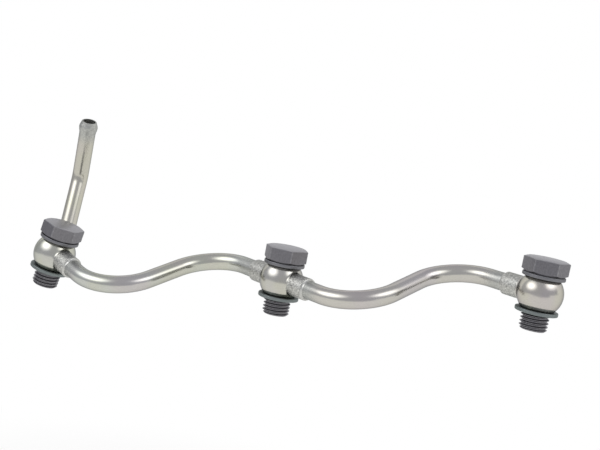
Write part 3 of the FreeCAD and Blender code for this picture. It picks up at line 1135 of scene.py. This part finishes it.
tail_up = leaning(*TAIL_UPPER_LEAN)
bead = tail_corners(tail_up)[-1] + tail_up * BEAD_LENGTH / 2
left_mouths = [stub_mouth("left", TO_RIGHT), stub_mouth("middle", TO_LEFT)]
right_mouths = [stub_mouth("middle", TO_RIGHT), stub_mouth("right", TO_LEFT)]
tail_ends = [in_mm(TO_TAIL * STUB_REACH), in_mm(bead)]
finishes = {
    "eye_left": eye_plate("eye_plate_left", GREENISH_EYE, 0.1),
    "eye_middle": eye_plate("eye_plate_middle", NEUTRAL_EYE, 0.1),
    "eye_right": eye_plate("eye_plate_right", METAL, 0.25),
    "span_tube_left": tube_plate("tube_plate_left", GREENISH, 0.5, left_mouths, 12.0),
    "span_tube_right": tube_plate("tube_plate_right", ROSY, 0.28, right_mouths, 12.0),
    "tail_tube": tube_plate("tube_plate_tail", YELLOWED, 0.5, tail_ends, 10.0),
    "braze_ring": plain_metal("braze_plate", BRAZE_COLOUR, 0.3, 0.42, 0.6),
    "hollow_bolt": bolt_phosphate(),
    "upper_washer": plain_metal("washer_upper", UPPER_WASHER_COLOUR, 0.36, 0.48, 0.5),
    "lower_washer": plain_metal("washer_lower", LOWER_WASHER_COLOUR, 0.42, 0.55, 0.4),
}
for node, piece in made.items():
    finish = next(material for start, material in finishes.items() if node.startswith(start))
    piece.data.materials.clear()
    piece.data.materials.append(finish)
print("materials:", [material.name for material in finishes.values()])

# %% [markdown]
# ## The camera
# Its place, aim and roll were fitted to the photograph's traced centre lines. It stands a little
# above the line's level, in front and to the right, and is rolled by eleven degrees.

# %% Camera
start_fresh()
bpy.ops.object.camera_add()
camera = bpy.context.object
camera_place = (0.10349, -0.42729, 0.08473)
right = Vector((0.95165, 0.24442, 0.18607))
down = Vector((0.20805, -0.06721, -0.97581))
forward = Vector((-0.22600, 0.96734, -0.11481))
turn = Matrix((right, -down, -forward)).transposed()
camera.matrix_world = Matrix.Translation(camera_place) @ turn.to_4x4()
camera.data.lens = 60.0
camera.data.sensor_width = 36.0
camera.data.clip_start = 0.01
camera.data.clip_end = 50.0
bpy.context.scene.camera = camera
print("camera roll, degrees:", round(math.degrees(math.atan2(right.z, -down.z)), 1))

# %% [markdown]
# ## The studio
# Bright metal shows the room it stands in, so the room is part of the look. A pale floor fills the
# lower half of every ball and tube. Grey walls behind the camera and at both sides, with a grey
# ceiling, fill the upper half. Two soft boxes hang between them and the line. Each is brightest at
# its centre and fades to nothing at its edge, so no hard outline of a lamp shows on the metal. The
# floor, the walls, the boxes and the world are stage, not part of the object.

# %% Soft boxes
BOX_WIDTH = 0.95
BOX_HEIGHT = 0.66
SOFT_BOXES = [
    ("soft_box_left", (-0.40, -0.30, 0.35), 5.0),
    ("soft_box_right", (0.47, -0.16, 0.50), 4.5),
]


def soft_box(name, place, power):
    """Area lamp that faces the line's middle, brightest at the lamp's centre."""
    start_fresh()
    bpy.ops.object.light_add(type="AREA", location=place)
    lamp = bpy.context.object
    lamp.name = name
    lamp.rotation_euler = Vector(place).to_track_quat("Z", "Y").to_euler()
    lamp.data.shape = "RECTANGLE"
    lamp.data.size = BOX_WIDTH
    lamp.data.size_y = BOX_HEIGHT
    lamp.data.energy = power
    lamp.data.use_nodes = True
    tree = lamp.data.node_tree
    across = add(tree, "ShaderNodeNewGeometry").outputs["Parametric"]
    bright = maths(tree, "SUBTRACT", 1.0, faded(tree, across, (0.5, 0.5, 0), 0.0, 0.5))
    tree.links.new(bright, tree.nodes["Emission"].inputs["Strength"])
    lamp.visible_camera = False
    return lamp


for name, place, power in SOFT_BOXES:
    lamp = soft_box(name, place, power)
    print(lamp.name, "stands", round(lamp.location.length, 2), "m from the line's middle")

# %% World: soft level for the light, white where it is seen or mirrored
WHITE = (1, 1, 1, 1)
LEVEL_LIGHT = 0.85


def seen_or_mirrored(tree):
    """1 for camera, glossy and transmission rays."""
    path = add(tree, "ShaderNodeLightPath").outputs
    either = maths(tree, "MAXIMUM", path["Is Camera Ray"], path["Is Glossy Ray"])
    return maths(tree, "MAXIMUM", either, path["Is Transmission Ray"])


world = bpy.data.worlds.new("studio")
bpy.context.scene.world = world
world.use_nodes = True
tree = world.node_tree
tree.nodes.clear()
level_light = add(tree, "ShaderNodeBackground", {"Color": WHITE, "Strength": LEVEL_LIGHT})
white = add(tree, "ShaderNodeBackground", {"Color": WHITE, "Strength": 1.0})
choice = add(tree, "ShaderNodeMixShader", {
    0: seen_or_mirrored(tree), 1: level_light.outputs[0], 2: white.outputs[0],
})
add(tree, "ShaderNodeOutputWorld", {"Surface": choice.outputs[0]})
print("world level:", LEVEL_LIGHT, "and 1.0 where it is seen or mirrored")

# %% [markdown]
# The floor is a plain pale surface that keeps the line's shadow. Away from the line it fades to the
# white of the world, so that no edge shows. Seen from below it is clear, because a view of the
# threads' ends would show nothing else. The grey cards are seen by reflections only.

# %% Floor
FLOOR_Z = -0.2
FLOOR_SPAN = 8
FLOOR_PALE = (0.9, 0.9, 0.9, 1)
FADE_FROM, FADE_FULL = 0.2, 0.4


def card(name, location, size, rotation):
    """Flat stage piece."""
    start_fresh()
    bpy.ops.mesh.primitive_plane_add(size=1, location=location, rotation=rotation)
    piece = bpy.context.object
    piece.name = name
    piece.scale = (size[0], size[1], 1)
    bpy.ops.object.transform_apply(location=True, rotation=True, scale=True)
    return piece


floor = card("floor", (0, 0, FLOOR_Z), (FLOOR_SPAN, FLOOR_SPAN), (0, 0, 0))
material = bpy.data.materials.new("floor_pale")
material.use_nodes = True
tree = material.node_tree
surface = tree.nodes["Principled BSDF"]
surface.inputs["Base Color"].default_value = FLOOR_PALE
surface.inputs["Roughness"].default_value = 0.9
surface.inputs["Specular IOR Level"].default_value = 0.0
here = add(tree, "ShaderNodeTexCoord").outputs["Object"]
far_off = faded(tree, here, (0, 0, FLOOR_Z), FADE_FROM, FADE_FULL)
share = maths(tree, "MULTIPLY", seen_or_mirrored(tree), far_off)
white = add(tree, "ShaderNodeEmission", {"Color": WHITE, "Strength": 1.0})
mix = add(tree, "ShaderNodeMixShader", {0: share, 1: surface.outputs[0], 2: white.outputs[0]})
backfacing = add(tree, "ShaderNodeNewGeometry").outputs["Backfacing"]
from_below = maths(tree, "MULTIPLY", backfacing, add(tree, "ShaderNodeLightPath").outputs["Is Camera Ray"])
clear = add(tree, "ShaderNodeBsdfTransparent")
mix = add(tree, "ShaderNodeMixShader", {0: from_below, 1: mix.outputs[0], 2: clear.outputs[0]})
tree.links.new(mix.outputs[0], tree.nodes["Material Output"].inputs["Surface"])
floor.data.materials.append(material)
print("floor at", FLOOR_Z, "m, white from", FADE_FULL, "m on")

# %% Grey cards for the reflections: three walls and a ceiling
WALL_GREY = (0.56, 0.57, 0.615, 1)
WALL_HEIGHT = 2.0
CEILING_PLACE = (0, -0.2, 1.3)
CEILING_SIZE = (2.9, 2.2)
WALL_ROLL = math.radians(-4)
# name, place seen from above, foot, width and heading of each wall
WALLS = [
    ("wall_front", (0, -1.25), -0.2, 2.9, 0),
    ("wall_left", (-1.35, -0.4), -0.2, 1.9, math.pi / 2),
    ("wall_right", (1.4, -0.6), 0.1, 1.3, math.pi / 2),
]
wall_grey = bpy.data.materials.new("wall_grey")
wall_grey.use_nodes = True
tree = wall_grey.node_tree
tree.nodes.clear()
glow = add(tree, "ShaderNodeEmission", {"Color": WALL_GREY, "Strength": 1.0})
add(tree, "ShaderNodeOutputMaterial", {"Surface": glow.outputs[0]})
walls = []
for name, place, foot, width, heading in WALLS:
    middle = (place[0], place[1], foot + WALL_HEIGHT / 2)
    wall = card(name, middle, (width, WALL_HEIGHT), (math.pi / 2, 0, heading))
    lay_down(wall, Matrix.Rotation(WALL_ROLL, 4, forward))
    walls.append(wall)
walls.append(card("ceiling", CEILING_PLACE, CEILING_SIZE, (0, 0, 0)))
for wall in walls:
    wall.data.materials.append(wall_grey)
    wall.visible_camera = False
    wall.visible_diffuse = False
    wall.visible_shadow = False
    wall.visible_transmission = False
print("reflection cards:", [wall.name for wall in walls])

bpy.context.scene.view_settings.view_transform = "Standard"
